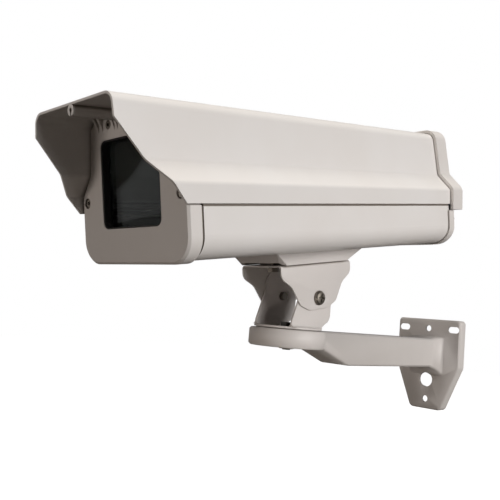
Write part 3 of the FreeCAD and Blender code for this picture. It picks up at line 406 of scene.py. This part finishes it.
# the two yokes are drawn about the tilt pin
PIN_R = 4.0
SHEET = 1.6
OUTER_HALF = 26.2
EDGE_ROUND = 0.45
SWIVEL_Y = -12.5
# longer than any yoke, for what is cut or kept all the way through
THROUGH = 60


def upper_yoke():
    """Sheet folded down on both sides, each ear narrowed in a long double curve."""
    top, low = 34.2, -14.0
    outer_bend, inner_bend = 3.5, 2.0
    half = OUTER_HALF
    inside = half - SHEET
    section = rounded([(-half, low, 0), (-half, top, outer_bend), (half, top, outer_bend), (half, low, 0),
                       (inside, low, 0), (inside, top - SHEET, inner_bend),
                       (-inside, top - SHEET, inner_bend), (-inside, low, 0)])
    side = rounded(mirrored([(51.0, top + 2, 0), (51.0, 22.0, 9.0), (37.0, 13.0, 14.0), (26.0, -5.0, 8.0),
                             (13.0, -11.0, 20.0)]))
    yoke = combined(prism(section, along_y, -THROUGH, THROUGH), [prism(side, along_x, -THROUGH, THROUGH)],
                    "INTERSECT")
    bolt_r, bolt_y = 3.2, 34.0
    holes = [pillar(PIN_R + 0.05, 48, 0, 0, along_x, -THROUGH, THROUGH)]
    holes += [pillar(bolt_r, 24, 0, y, along_z, 20, 50) for y in (-bolt_y, bolt_y)]
    return placed_yoke(combined(yoke, holes, "DIFFERENCE"), "upper_yoke", "housing", "upper_clevis", TILT)


def lower_yoke():
    """Pressed cup: a round base that turns up into two ears."""
    base_top, base_low, base_r, wide = -29.6, -32.4, 33.0, 40.0
    foot_r, gap = 31.0, 0.9
    top, flare = 34.0, 3.6
    half = OUTER_HALF - SHEET - 0.2
    inside = half - SHEET
    section = rounded([(-half, top, 0), (-half, base_top, flare), (-wide, base_top, 0), (-wide, base_low, 0),
                       (wide, base_low, 0), (wide, base_top, 0), (half, base_top, flare), (half, top, 0),
                       (inside, top, 0), (inside, base_top, flare), (-inside, base_top, flare),
                       (-inside, top, 0)])
    side = rounded([(-34.0, base_top, 0), (-34.0, -25.0, 5.0), (-25.3, 0.0, 14.0), (-22.0, 27.0, 19.0),
                    (20.5, 27.0, 19.0), (21.2, -20.5, 10.0), (7.0, base_top, 0)])
    disc = pillar(base_r, 64, 0, SWIVEL_Y, along_z, base_low - 1, base_top)
    ears = prism(side, along_x, -(half + flare), half + flare)
    outline = combined(disc, [ears], "UNION")
    # shadow gap over the casting: the base stands on a slightly smaller foot
    foot = pillar(foot_r, 64, 0, SWIVEL_Y, along_z, base_low - 2, base_low + 2)
    under = combined(pillar(THROUGH, 64, 0, SWIVEL_Y, along_z, base_low - 1, base_low + gap), [foot],
                     "DIFFERENCE")
    yoke = combined(prism(section, along_y, -THROUGH, THROUGH), [outline], "INTERSECT")
    holes = [pillar(PIN_R + 0.01, 48, 0, 0, along_x, -THROUGH, THROUGH),
             pillar(PIN_R + 0.01, 48, 0, SWIVEL_Y, along_z, -40, -20)]
    return placed_yoke(combined(yoke, holes + [under], "DIFFERENCE"), "lower_yoke", "swivel", "lower_clevis",
                       Matrix.Identity(3))


# stage, light and camera, in metres

def seen_rays(tree):
    """1 where a surface is looked at straight or through glass, 0 where it only lights or is mirrored."""
    path = add(tree, "ShaderNodeLightPath")
    seen = add(tree, "ShaderNodeMath", {0: (path, "Is Camera Ray"), 1: (path, "Is Transmission Ray")},
               operation="MAXIMUM")
    return path, seen


def make_floor():
    """Pale floor well below the bracket: it shows white, keeps the soft shadow, throws little light back."""
    m = new_material("pale_floor")
    path, seen = seen_rays(m)
    # the glow fades in away from the bracket, so the shadow stays while the floor meets the white behind it
    place = add(m, "ShaderNodeTexCoord")
    away = add(m, "ShaderNodeVectorMath", {0: (place, "Object")}, operation="LENGTH")
    spread = add(m, "ShaderNodeMapRange", {"Value": (away, "Value")}, From_Min=0.9, From_Max=2.4,
                 To_Min=0.84, To_Max=1.0)
    lift = add(m, "ShaderNodeMath", {0: (seen, 0), 1: (spread, "Result")}, operation="MULTIPLY")
    tone = add(m, "ShaderNodeMixRGB", {"Fac": (seen, 0)}, Color1=hex_colour("504C48"),
               Color2=hex_colour("F2F1EF"))
    matte = add(m, "ShaderNodeBsdfDiffuse", {"Color": (tone, "Color")})
    glow = add(m, "ShaderNodeEmission", {"Strength": (lift, 0)})
    both = add(m, "ShaderNodeAddShader", {0: (matte, 0), 1: (glow, 0)})
    finish_surface(m, both)
    half, z = 6.0, -0.42
    mesh = bpy.data.meshes.new("floor")
    corners = [(-half, -half, z), (half, -half, z), (half, half, z), (-half, half, z)]
    mesh.from_pydata(corners, [], [(0, 1, 2, 3)])
    mesh.materials.append(m)
    floor = placed("floor", mesh)


def make_world():
    """White where it is seen, dimmer where it is mirrored, and a quiet warm grey where it only lights."""
    world = bpy.data.worlds.new("studio")
    bpy.context.scene.world = world
    world.use_nodes = True
    world.node_tree.nodes.clear()
    path, seen = seen_rays(world)
    room = add(world, "ShaderNodeBackground", Strength=AMBIENT, Color=hex_colour("FFF4EA"))
    reflected = add(world, "ShaderNodeBackground", Strength=MIRRORED, Color=hex_colour("FFFFFF"))
    white = add(world, "ShaderNodeBackground", Strength=1.0, Color=hex_colour("FFFFFF"))
    dim = add(world, "ShaderNodeMixShader", {0: (path, "Is Glossy Ray"), 1: (room, 0), 2: (reflected, 0)})
    sky = add(world, "ShaderNodeMixShader", {0: (seen, 0), 1: (dim, 0), 2: (white, 0)})
    add(world, "ShaderNodeOutputWorld", {"Surface": (sky, 0)})


def soft_light(name, place, target, size, watts, colour, spread=180):
    """A round area lamp that looks at its target."""
    data = bpy.data.lights.new(name, "AREA")
    data.shape = "DISK"
    data.size = size
    data.energy = watts
    data.spread = math.radians(spread)
    data.color = hex_colour(colour)[:3]
    lamp = placed(name, data)
    lamp.location = place
    lamp.rotation_euler = (Vector(target) - Vector(place)).to_track_quat("-Z", "Y").to_euler()


def make_lights():
    middle = (0.0, -0.28, 0.05)
    # a tall window of light beside the object, low enough to reach under the tray
    soft_light("side", (2.1, -0.10, 0.42), middle, 1.3, 40.5, "FFFDFA")
    # from above: the rounded top edges and the shoulders, and the wall plate from in front
    soft_light("top", (-0.25, -1.1, 2.2), middle, 0.9, 44.0, "FFFBF2")
    soft_light("front", (-0.7, -2.2, -0.2), (0.0, -0.5, 0.1), 1.0, 11.0, "FFF4EA")
    # a small gridded lamp for the arm and the wall plate
    soft_light("low", (0.5, -0.9, -0.5), (0.0, -0.05, -0.03), 0.3, 0.26, "FFF6EE", 28)


def make_camera():
    """Stands where the photograph was taken from."""
    right = Vector((0.69227, 0.71699, 0.08176))
    up = Vector((0.01263, -0.12532, 0.99204))
    back = Vector((0.72152, -0.68573, -0.09581))
    data = bpy.data.cameras.new("camera")
    data.lens = 48.41
    data.sensor_width = 36.0
    data.clip_start = 0.01
    camera = placed("camera", data)
    turned = Matrix((right, up, back)).transposed().to_4x4()
    camera.matrix_world = Matrix.Translation((0.4502, -0.7557, -0.0018)) @ turned
    bpy.context.scene.camera = camera


bpy.context.scene.view_settings.view_transform = "Standard"
dress_nodes()
lower_shell()
upper_yoke()
lower_yoke()
wall_bracket()
make_floor()
make_world()
make_lights()
make_camera()
